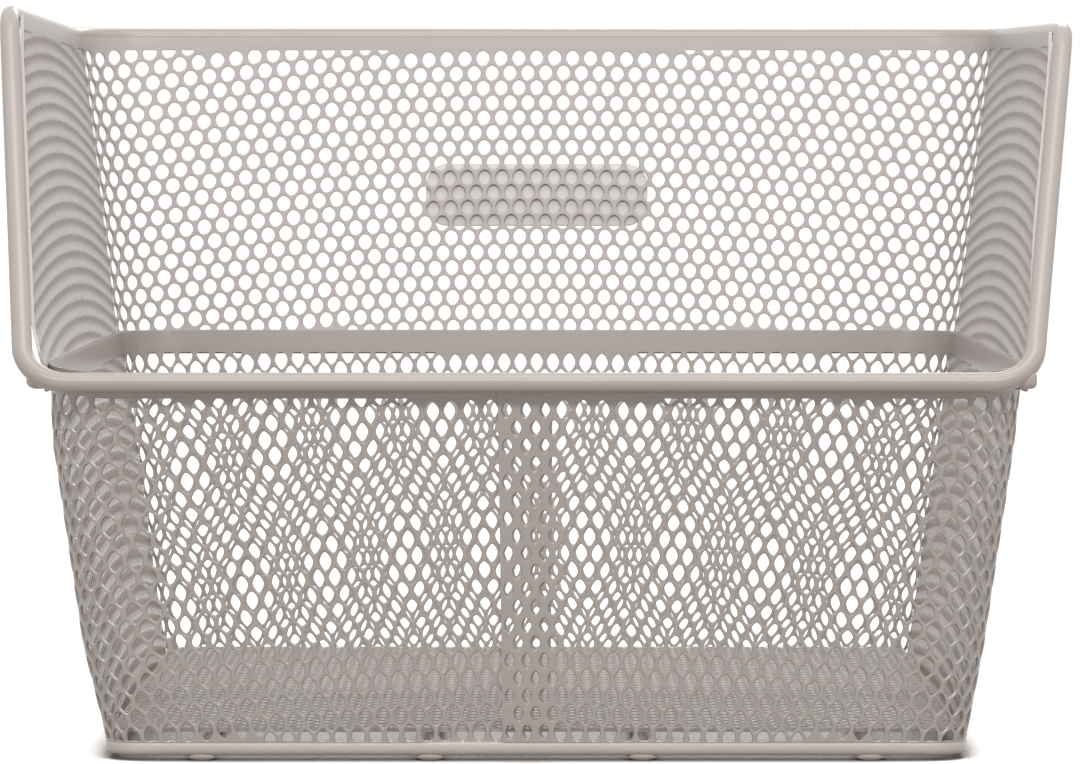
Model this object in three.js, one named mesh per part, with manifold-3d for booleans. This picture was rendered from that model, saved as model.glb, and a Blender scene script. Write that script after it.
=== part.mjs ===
// Rear bicycle basket: flared walls of staggered-hole mesh on a wire ring, framed by one bent rim tube.
// The front wall, at -Y, is low. Millimetres, +Z up, origin under the middle of the basket.
import * as THREE from 'three';
import { mergeVertices } from 'three/addons/utils/BufferGeometryUtils.js';
import Module from 'manifold-3d';

const wasm = await Module();
wasm.setup();

// Overall size over the rim tube, and the low front rim
const overallLength = 380;
const overallWidth = 350;
const backRimTop = 237;
const frontRimTop = 123.3;

// Rim tube. Its front bends and its front top corners stand a little unlike, as bent by hand
const rimDiameter = 6.4;
const frontBendRadius = 15;
const topBendRadius = 18;
const rimLeanBack = 95;
const leftCornerLift = 2.5;
const rightCornerDrop = 3;
const leftBendOutset = 2;
const rightBendInset = 3;

// Wall sheets, measured over the outer face
const sheet = 1.1;
const floorHalfWidth = 136.4;
const seamHalfWidth = 153.4;
const floorCornerRadius = 12;
const seamCornerRadius = 22;
const topCornerRadius = 26;
const seamAboveRim = 2.2;
const seamOverlap = 8.5;
const lowerTopBelowRim = 0.5;
const upperFrontSetback = 4.6;
const upperCutSetback = 8.8;
const upperInsideRim = 3;
const swingOutFade = 12;
const swingInFade = 45;

// The lower sheet's ends lap beside the middle of the front wall, and the inner end steps in before the lap
const lapRight = 5;
const lapLeft = 13;
const lapStep = 16;

// Gap between pieces that are welded or seated on the real basket
const clearance = 0.3;

// Holes: hexagons in staggered rows that arch over each wall
const holePitch = 41;
const archDrop = 10;
const strand = 6;
const edgeMargin = 4;
const leastHole = 6;
const backColumns = 7;
const sideColumns = 8;
const cornerColumns = 1;
const cornerFacets = 4;

// Bottom ring, floor wires with flattened ends under the ring, and cross wires between wires and floor
const ringDiameter = 4.2;
const tongueThickness = 1.3;
const tongueWidth = 9;
const tongueSetback = 0.6;
const tongueTaper = 9;
const floorWireDiameter = 4.2;
const innerWireOffset = 33.5;
const outerWireOffset = 105.5;
const crossWireDiameter = 4.2;
const crossWireSpacing = 104;

// Rear plate, centred on the back wall
const plateWidth = 82;
const plateHeight = 23;
const plateThickness = 1.5;
const plateCornerRadius = 8;
const plateCentreHeight = 175.5;

// Lugs under the front bends of the rim, the left one broader and rounder
const lugHeight = 5.8;
const lugRise = 0.8;
const lugDepth = 8;
const leftLugWidth = 8.4;
const leftLugInset = 4.8;
const leftLugRadius = 2.6;
const rightLugWidth = 6.8;
const rightLugInset = 1.9;
const rightLugRadius = 1.2;

// Facets
const tubeSides = 10;
const wireSides = 12;
const bendFacets = 8;
const outlineFacets = 4;
const weldDistance = 0.002;

// Values worked out from the sizes above
const rimRadius = rimDiameter / 2;
const ringRadius = ringDiameter / 2;
const rimHeight = backRimTop - rimRadius;
const frontRimHeight = frontRimTop - rimRadius;
const rimToMesh = rimRadius + clearance;
const rimHalfWidth = overallWidth / 2 - rimRadius;
const rimHalfLength = overallLength / 2 - rimRadius;
const ringHeight = tongueThickness + clearance + ringRadius;
const wallBottom = ringHeight + ringRadius;
const seamHeight = frontRimTop + seamAboveRim;
const upperBottom = seamHeight - seamOverlap;
const upperFrontCut = rimHalfLength - upperCutSetback;
const layerStep = sheet + clearance;
const crossWireHeight = floorWireDiameter + clearance + crossWireDiameter / 2;
const floorBottom = crossWireHeight + crossWireDiameter / 2 + clearance;
const lowerTopAtFront = frontRimTop - lowerTopBelowRim;
const lowerFlare = (seamHalfWidth - floorHalfWidth) / (seamHeight - wallBottom);
const upperSeamHalfWidth = seamHalfWidth + layerStep;
const upperFlare = (rimHalfWidth - rimToMesh - upperSeamHalfWidth) / (rimHeight - seamHeight);
const lowerFrontAtRim = -rimHalfLength + rimToMesh;
const lowerBackAtSeam = rimHalfLength - rimToMesh - upperFlare * (rimHeight - seamHeight) - layerStep;
const frontRimHalfWidth = upperSeamHalfWidth + rimToMesh - upperFlare * (seamHeight - frontRimHeight);
const leftBendReach = frontRimHalfWidth + leftBendOutset;
const rightBendReach = frontRimHalfWidth - rightBendInset;
const rimLeanPerHeight = rimLeanBack / (rimHeight - frontRimHeight);

const steel = { roughness: 0.45, metalness: 0.1 };
const tubeFinish = { color: '#b7aca4', ...steel };
const meshFinish = { color: '#a89d96', ...steel };
const wireFinish = { color: '#a39890', ...steel };

const basket = new THREE.Group();

function corner2(x, y) {
  return new THREE.Vector2(x, y);
}

function addPiece(name, geometry, finish) {
  const mesh = new THREE.Mesh(geometry, new THREE.MeshStandardMaterial(finish));
  mesh.name = name;
  basket.add(mesh);
  return mesh;
}

// Six times the volume inside a geometry, negative where its faces point inwards
function signedVolume(geometry) {
  const points = geometry.getAttribute('position');
  const index = geometry.getIndex();
  const corners = [new THREE.Vector3(), new THREE.Vector3(), new THREE.Vector3()];
  let volume = 0;
  for (let start = 0; start < index.count; start += corners.length) {
    corners.forEach((corner, place) => corner.fromBufferAttribute(points, index.getX(start + place)));
    volume += corners[0].dot(corners[1].clone().cross(corners[2]));
  }
  return volume;
}

function closedGeometry(points, triangles) {
  const geometry = new THREE.BufferGeometry();
  geometry.setFromPoints(points);
  geometry.setIndex(triangles.flat());
  if (signedVolume(geometry) < 0) {
    geometry.setIndex(triangles.flatMap(([a, b, c]) => [a, c, b]));
  }
  return geometry;
}

// Closed body through rings of points. A loop joins its last ring to its first, a bar gets two flat ends.
function skin(rings, isLoop) {
  const size = rings[0].length;
  const triangles = [];
  const spans = isLoop ? rings.length : rings.length - 1;
  for (let span = 0; span < spans; span += 1) {
    const here = span * size;
    const next = ((span + 1) % rings.length) * size;
    for (let side = 0; side < size; side += 1) {
      const other = (side + 1) % size;
      triangles.push([here + side, here + other, next + other]);
      triangles.push([here + side, next + other, next + side]);
    }
  }
  if (!isLoop) {
    const last = (rings.length - 1) * size;
    for (let side = 1; side < size - 1; side += 1) {
      triangles.push([0, side + 1, side]);
      triangles.push([last, last + side, last + side + 1]);
    }
  }
  return closedGeometry(rings.flat(), triangles);
}

// Closed line with rounded corners: every point on it with its tangent
function roundedLoop(corners) {
  return corners.flatMap((corner, place) => {
    const before = corners[(place + corners.length - 1) % corners.length].point;
    const after = corners[(place + 1) % corners.length].point;
    const into = corner.point.clone().sub(before).normalize();
    const outOf = after.clone().sub(corner.point).normalize();
    const turn = into.angleTo(outOf);
    const inwards = outOf.clone().addScaledVector(into, -into.dot(outOf)).normalize();
    const centre = corner.point.clone()
      .addScaledVector(into, -corner.radius * Math.tan(turn / 2))
      .addScaledVector(inwards, corner.radius);
    const facets = Math.ceil((bendFacets * turn) / (Math.PI / 2));
    return Array.from({ length: facets + 1 }, (_, step) => {
      const angle = (turn * step) / facets;
      const point = centre.clone()
        .addScaledVector(inwards, -corner.radius * Math.cos(angle))
        .addScaledVector(into, corner.radius * Math.sin(angle));
      const tangent = into.clone().multiplyScalar(Math.cos(angle))
        .addScaledVector(inwards, Math.sin(angle));
      return { point, tangent };
    });
  });
}

// Round tube along a closed line. Its section is carried on without twist, and the turn that is left where
// the line closes is shared out over its length.
function loopTube(path, radius) {
  const side = new THREE.Vector3(0, 0, 1).cross(path[0].tangent).normalize();
  const carried = [side.clone()];
  path.forEach(({ tangent }, place) => {
    const next = path[(place + 1) % path.length].tangent;
    side.applyQuaternion(new THREE.Quaternion().setFromUnitVectors(tangent, next));
    carried.push(side.clone());
  });
  const twist = Math.atan2(carried[0].clone().cross(side).dot(path[0].tangent), carried[0].dot(side));
  const rings = path.map(({ point, tangent }, place) => {
    const across = carried[place].applyAxisAngle(tangent, (-twist * place) / path.length);
    const up = tangent.clone().cross(across);
    return Array.from({ length: tubeSides }, (_, corner) => {
      const angle = (2 * Math.PI * (corner + 1 / 2)) / tubeSides;
      return point.clone()
        .addScaledVector(across, radius * Math.cos(angle))
        .addScaledVector(up, radius * Math.sin(angle));
    });
  });
  return skin(rings, true);
}

// Plan of a wall's outer face at a height: half width, front, back and corner radius
function lowerPlan(height) {
  const rise = (height - wallBottom) / (seamHeight - wallBottom);
  return {
    half: floorHalfWidth + lowerFlare * (height - wallBottom),
    front: lowerFrontAtRim - lowerFlare * (height - frontRimHeight),
    back: lowerBackAtSeam + lowerFlare * (height - seamHeight),
    radius: THREE.MathUtils.lerp(floorCornerRadius, seamCornerRadius, rise),
  };
}

// The upper sheet's sides run straight on to their slanted front edges, past where the lower one turns
function upperPlan(height) {
  const rise = (height - seamHeight) / (rimHeight - seamHeight);
  const back = rimHalfLength - rimToMesh - upperFlare * (rimHeight - height);
  const radius = THREE.MathUtils.lerp(seamCornerRadius + layerStep, topCornerRadius, rise);
  return {
    half: upperSeamHalfWidth + upperFlare * (height - seamHeight),
    front: back - 2 * radius - upperRuns.side,
    back,
    radius,
  };
}

// Lengths of a flat sheet over each part of half the basket, from the middle of the back wall on
const lowerRuns = {
  back: (backColumns / 2) * holePitch,
  corner: cornerColumns * holePitch,
  side: sideColumns * holePitch,
};
const upperRuns = { ...lowerRuns, side: 2 * rimHalfLength };
const halfRun = 2 * (lowerRuns.back + lowerRuns.corner) + lowerRuns.side;

// How far round half the basket a point of a flat sheet lies, as shares of each part passed
function passedShares(runs, along) {
  const reach = Math.abs(along);
  const pass = (start, run) => THREE.MathUtils.clamp((reach - start) / run, 0, 1);
  const frontCorner = runs.back + runs.corner + runs.side;
  return {
    back: pass(0, runs.back),
    backTurn: pass(runs.back, runs.corner),
    side: pass(runs.back + runs.corner, runs.side),
    frontTurn: pass(frontCorner, runs.corner),
    front: Math.max(0, (reach - frontCorner - runs.corner) / runs.back),
  };
}

// Place of a flat sheet's point on a plan, sunk in from the outer face by a depth. Corners are facetted.
function pointOnPlan(runs, plan, along, depth) {
  const passed = passedShares(runs, along);
  const turned = (passed.backTurn + passed.frontTurn) * cornerFacets;
  const facet = Math.floor(turned);
  const radius = plan.radius - depth;
  const arm = (step) => {
    const angle = (step * Math.PI) / 2 / cornerFacets;
    return new THREE.Vector2(radius * Math.sin(angle), radius * Math.cos(angle));
  };
  const hubY = THREE.MathUtils.lerp(plan.back - plan.radius, plan.front + plan.radius, passed.side);
  const hubX = (plan.half - plan.radius) * (passed.back - passed.front);
  const spot = arm(facet).lerp(arm(facet + 1), turned - facet).add(new THREE.Vector2(hubX, hubY));
  return along < 0 ? new THREE.Vector2(-spot.x, spot.y) : spot;
}

// Upright lines on a flat sheet at which the facets of its corners meet
function bendLines(runs) {
  return Array.from({ length: cornerFacets + 1 }, (_, facet) => (runs.corner * facet) / cornerFacets)
    .flatMap((step) => [runs.back + step, runs.back + runs.corner + runs.side + step])
    .flatMap((line) => [-line, line]);
}

// Drop of the hole rows from the middle of a wall towards its corners
function archAt(along) {
  const reach = Math.abs(along);
  const halfBack = lowerRuns.back + lowerRuns.corner / 2;
  const halfSide = (lowerRuns.side + lowerRuns.corner) / 2;
  const fromBack = reach / halfBack;
  const fromSide = Math.abs(reach - halfBack - halfSide) / halfSide;
  const fromFront = Math.abs(reach - halfRun) / halfBack;
  return archDrop * Math.min(fromBack, fromSide, fromFront) ** 2;
}

// Straight edges of a convex outline, each as a point and its inward direction, moved in by a margin
function outlineEdges(corners, margin) {
  return corners.map((corner, place) => {
    const next = corners[(place + 1) % corners.length];
    const along = next.clone().sub(corner).normalize();
    const inwards = new THREE.Vector2(-along.y, along.x);
    return { point: corner.clone().addScaledVector(inwards, margin), inwards };
  });
}

function clip(polygon, edges) {
  return edges.reduce((kept, { point, inwards }) => {
    const depth = kept.map((corner) => corner.clone().sub(point).dot(inwards));
    return kept.flatMap((corner, place) => {
      const next = (place + 1) % kept.length;
      const isIn = depth[place] >= 0;
      if (isIn === depth[next] >= 0) {
        return isIn ? [corner] : [];
      }
      const [from, to] = isIn ? [place, next] : [next, place];
      const cut = kept[from].clone().lerp(kept[to], depth[from] / (depth[from] - depth[to]));
      return isIn ? [corner, cut] : [cut];
    });
  }, polygon);
}

// Sheet with staggered hexagonal holes, cut to a convex outline and laid in place. Its lattice of cells has
// straight columns, and rows that drop by the arch. The net is split where it bends.
function perforatedSheet({ corners, archOf, bends, place }) {
  const rowStep = (holePitch * Math.sqrt(3)) / 2;
  const peak = rowStep / 6;
  const holeShare = 1 - strand / holePitch;
  const cutEdges = outlineEdges(corners, 0);
  const holeEdges = outlineEdges(corners, edgeMargin);
  const box = new THREE.Box2().setFromPoints(corners);
  const faces = [];

  const latticePoint = (column, row) => {
    const along = (column * holePitch) / 2;
    const tip = (column + row) % 2 === 0 ? -peak : peak;
    return new THREE.Vector2(along, row * rowStep + tip - archOf(along));
  };

  // Band between a cell and its hole, zipped together by angle about the hole's middle
  const addBand = (cell, hole) => {
    const middle = hole.reduce((sum, point) => sum.add(point), new THREE.Vector2()).divideScalar(hole.length);
    const byAngle = (polygon) => {
      const angles = polygon.map((point) => ({ point, angle: point.clone().sub(middle).angle() }));
      const sorted = angles.sort((one, other) => one.angle - other.angle);
      return [...sorted, { point: sorted[0].point, angle: sorted[0].angle + 2 * Math.PI }];
    };
    const outer = byAngle(cell);
    const inner = byAngle(hole);
    let out = 0;
    let into = 0;
    while (out < cell.length || into < hole.length) {
      const stepsOut = into === hole.length
        || (out < cell.length && outer[out + 1].angle < inner[into + 1].angle);
      if (stepsOut) {
        faces.push([outer[out].point, outer[out + 1].point, inner[into].point]);
        out += 1;
      } else {
        faces.push([outer[out].point, inner[into + 1].point, inner[into].point]);
        into += 1;
      }
    }
  };

  const addCell = (column, row) => {
    const cell = [
      latticePoint(column, row), latticePoint(column + 1, row),
      latticePoint(column + 1, row + 1), latticePoint(column, row + 1),
      latticePoint(column - 1, row + 1), latticePoint(column - 1, row),
    ];
    const kept = clip(cell, cutEdges);
    if (kept.length < 3) {
      return;
    }
    const middle = cell[0].clone().lerp(cell[3], 1 / 2);
    const hole = clip(cell.map((corner) => middle.clone().lerp(corner, holeShare)), holeEdges);
    const size = new THREE.Box2().setFromPoints(hole).getSize(new THREE.Vector2());
    if (hole.length < 3 || Math.min(size.x, size.y) < leastHole) {
      faces.push(kept);
    } else {
      addBand(kept, hole);
    }
  };

  const firstColumn = Math.floor((2 * box.min.x) / holePitch) - 1;
  const lastColumn = Math.ceil((2 * box.max.x) / holePitch) + 1;
  const firstRow = Math.floor(box.min.y / rowStep) - 1;
  const lastRow = Math.ceil((box.max.y + archDrop) / rowStep) + 1;
  for (let row = firstRow; row <= lastRow; row += 1) {
    for (let column = firstColumn; column <= lastColumn; column += 1) {
      if ((column + row) % 2 === 0) {
        addCell(column, row);
      }
    }
  }
  const split = bends.reduce((parts, line) => parts.flatMap((face) => splitAt(face, line)), faces);
  return thickened(split, place);
}

// Parts of a face on both sides of an upright line
function splitAt(face, line) {
  const reach = face.map((point) => point.x - line);
  if (Math.min(...reach) > -weldDistance || Math.max(...reach) < weldDistance) {
    return [face];
  }
  const point = new THREE.Vector2(line, 0);
  return [1, -1].map((way) => clip(face, [{ point, inwards: new THREE.Vector2(way, 0) }]));
}

// Solid from the convex faces of a flat net: the net on the outer face, again on the inner one, and an edge
// between them wherever the net ends
function thickened(faces, place) {
  const points = [];
  const known = new Map();
  const numberOf = (point) => {
    const key = point.toArray().map((value) => Math.round(value / weldDistance)).join();
    if (!known.has(key)) {
      known.set(key, points.length);
      points.push(point);
    }
    return known.get(key);
  };
  const triangles = faces.flatMap((face) => {
    const numbers = face.map(numberOf);
    const corners = numbers.filter((number, turn) => number !== numbers[(turn + 1) % numbers.length]);
    return corners.slice(2).map((number, turn) => [corners[0], corners[turn + 1], number]);
  });
  const count = points.length;
  const outer = points.map((point) => place(point, 0));
  const inner = points.map((point) => place(point, sheet));
  const sides = new Set(triangles.flatMap(([a, b, c]) => [`${a},${b}`, `${b},${c}`, `${c},${a}`]));
  const solid = triangles.flatMap(([a, b, c]) => [[a, b, c], [count + a, count + c, count + b]]);
  sides.forEach((side) => {
    const [from, to] = side.split(',').map(Number);
    if (!sides.has(`${to},${from}`)) {
      solid.push([to, from, count + from], [to, count + from, count + to]);
    }
  });
  return closedGeometry([...outer, ...inner], solid);
}

// Rim tube
const rimCorners = [
  { point: new THREE.Vector3(-leftBendReach, -rimHalfLength, frontRimHeight), radius: frontBendRadius },
  { point: new THREE.Vector3(rightBendReach, -rimHalfLength, frontRimHeight), radius: frontBendRadius },
  {
    point: new THREE.Vector3(rimHalfWidth, rimLeanBack - rimHalfLength, rimHeight - rightCornerDrop),
    radius: topBendRadius,
  },
  { point: new THREE.Vector3(rimHalfWidth, rimHalfLength, rimHeight), radius: topCornerRadius + rimToMesh },
  { point: new THREE.Vector3(-rimHalfWidth, rimHalfLength, rimHeight), radius: topCornerRadius + rimToMesh },
  {
    point: new THREE.Vector3(-rimHalfWidth, rimLeanBack - rimHalfLength, rimHeight + leftCornerLift),
    radius: topBendRadius,
  },
];
const rimPath = roundedLoop(rimCorners);
addPiece('rim_tube', loopTube(rimPath, rimRadius), tubeFinish);

// Lower sheet: a closed ring whose left end laps inside its right end at the front
function placeLower(point, depth) {
  const { frontTurn } = passedShares(lowerRuns, point.x);
  const topHere = THREE.MathUtils.lerp(seamHeight, lowerTopAtFront, frontTurn);
  const height = wallBottom + ((point.y - wallBottom) * (topHere - wallBottom)) / (seamHeight - wallBottom);
  const stepStart = halfRun - lapLeft - holePitch / 2 - lapStep;
  const stepped = THREE.MathUtils.clamp((-point.x - stepStart) / lapStep, 0, 1);
  const spot = pointOnPlan(lowerRuns, lowerPlan(height), point.x, depth + layerStep * stepped);
  return new THREE.Vector3(spot.x, spot.y, height);
}

addPiece('lower_mesh', perforatedSheet({
  corners: [
    corner2(-halfRun - lapRight, wallBottom), corner2(halfRun + lapLeft, wallBottom),
    corner2(halfRun + lapLeft, seamHeight), corner2(-halfRun - lapRight, seamHeight),
  ],
  archOf: archAt,
  bends: bendLines(lowerRuns),
  place: placeLower,
}), meshFinish);

// How far forward a point of the upper sheet's side lies, as a share from the back corner to an edge
function forwardShare(plan, y, edgeY) {
  const start = plan.back - plan.radius;
  return Math.max(0, (start - y) / (start - edgeY));
}

// The front edge of the upper sheet's sides leans back with the rim's uprights, and is upright at its foot
function upperEdgeY(height) {
  const leaning = upperFrontSetback - rimHalfLength + rimLeanPerHeight * (height - frontRimHeight);
  return Math.max(leaning, -upperFrontCut);
}

// Swing of a side of the upper sheet out or in at its front edge, to stand just inside the rim's upright
function swingAt(along, height) {
  const bendReach = along < 0 ? leftBendReach : rightBendReach;
  const upright = THREE.MathUtils.mapLinear(height, frontRimHeight, rimHeight, bendReach, rimHalfWidth);
  const swing = upright - upperInsideRim - upperPlan(height).half;
  const aboveSeam = (height - seamHeight) / (swing < 0 ? swingInFade : swingOutFade);
  const belowRim = (rimHeight - height) / swingOutFade;
  return swing * THREE.MathUtils.clamp(Math.min(aboveSeam, belowRim), 0, 1);
}

// Upper sheet: left, back and right, with front edges that lean back behind the rim's uprights
function placeUpper(point, depth) {
  const plan = upperPlan(point.y);
  const spot = pointOnPlan(upperRuns, plan, point.x, depth);
  const swing = swingAt(point.x, point.y) * forwardShare(plan, spot.y, upperEdgeY(point.y)) ** 2;
  const lift = point.x < 0 ? leftCornerLift : -rightCornerDrop;
  const forward = forwardShare(upperPlan(rimHeight), spot.y, rimLeanBack - rimHalfLength);
  const rise = (point.y - upperBottom) / (rimHeight - upperBottom);
  return new THREE.Vector3(spot.x + Math.sign(point.x) * swing, spot.y, point.y + lift * forward * rise);
}

function upperCorner(height) {
  const plan = upperPlan(height);
  const start = upperRuns.back + upperRuns.corner + plan.back - plan.radius;
  return corner2(start - upperEdgeY(height), height);
}

const cutHeight = frontRimHeight + (upperCutSetback - upperFrontSetback) / rimLeanPerHeight;
const upperRight = [upperCorner(upperBottom), upperCorner(cutHeight), upperCorner(rimHeight)];
const upperLeft = upperRight.map((corner) => corner2(-corner.x, corner.y)).reverse();
addPiece('upper_mesh', perforatedSheet({
  corners: [...upperRight, ...upperLeft],
  archOf: archAt,
  bends: bendLines(upperRuns),
  place: placeUpper,
}), meshFinish);

// Floor sheet inside the walls
const floorPlan = lowerPlan(floorBottom);
const floorInset = layerStep + layerStep + lowerFlare * clearance;
const floorCorners = (() => {
  const radius = floorPlan.radius - floorInset;
  const centres = [
    [1, floorPlan.front + floorPlan.radius, 3], [1, floorPlan.back - floorPlan.radius, 0],
    [-1, floorPlan.back - floorPlan.radius, 1], [-1, floorPlan.front + floorPlan.radius, 2],
  ];
  return centres.flatMap(([side, y, quarter]) => Array.from({ length: outlineFacets + 1 }, (_, step) => {
    const angle = ((quarter + step / outlineFacets) * Math.PI) / 2;
    const x = side * (floorPlan.half - floorPlan.radius);
    return corner2(x + radius * Math.cos(angle), y + radius * Math.sin(angle));
  }));
})();
addPiece('floor_mesh', perforatedSheet({
  corners: floorCorners,
  archOf: () => 0,
  bends: [],
  place: (point, depth) => new THREE.Vector3(point.x, point.y, floorBottom + depth),
}), meshFinish);

// Bottom ring, flush with the walls' outer face
const footPlan = lowerPlan(wallBottom);
const ringCorner = (x, y) => ({ point: new THREE.Vector3(x, y, ringHeight), radius: footPlan.radius - ringRadius });
const ringCorners = [
  ringCorner(-footPlan.half + ringRadius, footPlan.front + ringRadius),
  ringCorner(footPlan.half - ringRadius, footPlan.front + ringRadius),
  ringCorner(footPlan.half - ringRadius, footPlan.back - ringRadius),
  ringCorner(-footPlan.half + ringRadius, footPlan.back - ringRadius),
];
addPiece('bottom_ring', loopTube(roundedLoop(ringCorners), ringRadius), wireFinish);

// Floor wires: round between the ring's sides, flattened to tongues under it, with a flat underside
const flatAngle = Math.PI / wireSides;
function wireSection(along, width, thickness) {
  return Array.from({ length: wireSides }, (_, side) => {
    const angle = flatAngle * (2 * side + 1);
    const up = Math.sin(angle) / Math.cos(flatAngle);
    const across = Math.cos(angle) / Math.cos(flatAngle);
    return { along, across: (across * width) / 2, up: ((up + 1) * thickness) / 2 };
  });
}

function floorWire(offset) {
  const front = footPlan.front + tongueSetback;
  const back = footPlan.back - tongueSetback;
  const tongueLength = ringDiameter + 2 * clearance;
  const sections = [
    wireSection(front, tongueWidth, tongueThickness),
    wireSection(front + tongueLength, tongueWidth, tongueThickness),
    wireSection(front + tongueLength + tongueTaper, floorWireDiameter, floorWireDiameter),
    wireSection(back - tongueLength - tongueTaper, floorWireDiameter, floorWireDiameter),
    wireSection(back - tongueLength, tongueWidth, tongueThickness),
    wireSection(back, tongueWidth, tongueThickness),
  ];
  const rings = sections.map((section) => section.map(
    ({ along, across, up }) => new THREE.Vector3(offset + across, along, up),
  ));
  return skin(rings, false);
}

[-outerWireOffset, -innerWireOffset, innerWireOffset, outerWireOffset].forEach((offset, place) => {
  addPiece(`floor_wire_${place + 1}`, floorWire(offset), wireFinish);
});

// Cross wires, from side to side within the ring
const crossWireLength = 2 * (footPlan.half - ringDiameter - clearance);
['front', 'middle', 'back'].forEach((name, place) => {
  const wire = new THREE.CylinderGeometry(
    crossWireDiameter / 2, crossWireDiameter / 2, crossWireLength, wireSides,
  );
  const mesh = addPiece(`cross_wire_${name}`, wire, wireFinish);
  mesh.rotation.z = Math.PI / 2;
  mesh.position.set(0, (footPlan.front + footPlan.back) / 2 + (place - 1) * crossWireSpacing, crossWireHeight);
});

// Rear plate, flat on the sloping back wall
function roundedRectangle(width, height, radius) {
  const shape = new THREE.Shape();
  const [right, top] = [width / 2, height / 2];
  shape.absarc(right - radius, top - radius, radius, 0, Math.PI / 2);
  shape.absarc(radius - right, top - radius, radius, Math.PI / 2, Math.PI);
  shape.absarc(radius - right, radius - top, radius, Math.PI, Math.PI * 3 / 2);
  shape.absarc(right - radius, radius - top, radius, Math.PI * 3 / 2, Math.PI * 2);
  return shape;
}

const plateShape = roundedRectangle(plateWidth, plateHeight, plateCornerRadius);
const plate = addPiece('rear_plate', new THREE.ExtrudeGeometry(plateShape, {
  depth: plateThickness,
  bevelEnabled: false,
  curveSegments: outlineFacets,
}), tubeFinish);
const wallLean = Math.atan(upperFlare);
plate.rotation.x = -Math.PI / 2 - wallLean;
plate.position.set(0, upperPlan(plateCentreHeight).back + clearance, plateCentreHeight);

// Corner lugs, shaped to the underside of the rim's front bends
function toSolid(geometry) {
  const plain = geometry.clone();
  plain.deleteAttribute('normal');
  plain.deleteAttribute('uv');
  const welded = mergeVertices(plain);
  return new wasm.Manifold(new wasm.Mesh({
    numProp: 3,
    vertProperties: new Float32Array(welded.getAttribute('position').array),
    triVerts: new Uint32Array(welded.getIndex().array),
  }));
}

function toGeometry(solid) {
  const { vertProperties, triVerts } = solid.getMesh();
  const geometry = new THREE.BufferGeometry();
  geometry.setAttribute('position', new THREE.Float32BufferAttribute(vertProperties, 3));
  geometry.setIndex(Array.from(triVerts));
  return geometry;
}

const lugs = [
  { name: 'left', x: leftLugInset - leftBendReach, width: leftLugWidth, radius: leftLugRadius },
  { name: 'right', x: rightBendReach - rightLugInset, width: rightLugWidth, radius: rightLugRadius },
];
const rimRoom = toSolid(loopTube(rimPath, rimToMesh));
lugs.forEach(({ name, x, width, radius }) => {
  const block = new THREE.ExtrudeGeometry(roundedRectangle(width, lugHeight, radius), {
    depth: lugDepth,
    bevelEnabled: false,
    curveSegments: outlineFacets,
  });
  block.rotateX(Math.PI / 2);
  block.translate(x, -upperFrontCut - clearance, frontRimHeight + lugRise);
  addPiece(`corner_lug_${name}`, toGeometry(toSolid(block).subtract(rimRoom)), tubeFinish);
});

export default basket;
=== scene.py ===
# Looks of the rear bicycle basket: fine perforated walls, a round rim, wires, powder coat and a plain studio.
# Lengths are in millimetres in the basket's own frame, and meshes are made in metres.
import math

import bpy
import numpy as np
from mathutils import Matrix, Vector


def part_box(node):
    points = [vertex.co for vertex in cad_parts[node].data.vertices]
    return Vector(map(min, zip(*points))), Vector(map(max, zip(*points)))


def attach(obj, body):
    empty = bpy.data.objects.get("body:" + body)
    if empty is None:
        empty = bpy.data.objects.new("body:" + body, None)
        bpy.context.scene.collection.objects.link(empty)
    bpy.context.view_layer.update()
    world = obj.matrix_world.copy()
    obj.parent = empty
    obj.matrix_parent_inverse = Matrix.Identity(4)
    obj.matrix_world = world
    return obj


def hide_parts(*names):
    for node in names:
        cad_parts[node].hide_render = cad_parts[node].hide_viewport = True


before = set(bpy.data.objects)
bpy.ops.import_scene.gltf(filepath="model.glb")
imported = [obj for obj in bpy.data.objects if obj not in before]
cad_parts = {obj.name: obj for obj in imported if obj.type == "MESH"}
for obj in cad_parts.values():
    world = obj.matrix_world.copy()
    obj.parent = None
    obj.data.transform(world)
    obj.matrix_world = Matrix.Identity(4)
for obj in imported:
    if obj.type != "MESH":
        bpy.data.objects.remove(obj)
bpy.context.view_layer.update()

MM = 0.001


def box_mm(node):
    low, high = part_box(node)
    return np.array(low) / MM, np.array(high) / MM


# Sizes read from the frame
lower_low, lower_high = box_mm("lower_mesh")
upper_low, upper_high = box_mm("upper_mesh")
floor_low, floor_high = box_mm("floor_mesh")
ring_low, ring_high = box_mm("bottom_ring")
wall_bottom = lower_low[2]
seam_height = lower_high[2]
seam_half_width = lower_high[0]
lower_back_at_seam = lower_high[1]
upper_bottom = upper_low[2]
floor_bottom = floor_low[2]

# Rim tube. Its front bends and its front top corners stand a little unlike, as bent by hand
rim_radius = 3.2
rim_half_width = 171.8
rim_half_length = 186.8
rim_height = 233.8
front_rim_height = 120.1
front_bend_radius = 15
top_bend_radius = 18
rim_lean_back = 95
left_corner_lift = 2.5
right_corner_drop = 3
left_bend_outset = 2
right_bend_inset = 3

# Wall sheets, measured over the outer face
sheet = 1.1
clearance = 0.3
foot_half_width = 136.4
foot_corner_radius = 12
seam_corner_radius = 22
top_corner_radius = 26
floor_corner_radius = 8
lower_top_at_front = 122.8
upper_front_setback = 1.5
upper_front_cut = 178
upper_inside_rim = 3
swing_out_fade = 12
swing_in_fade = 45

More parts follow.
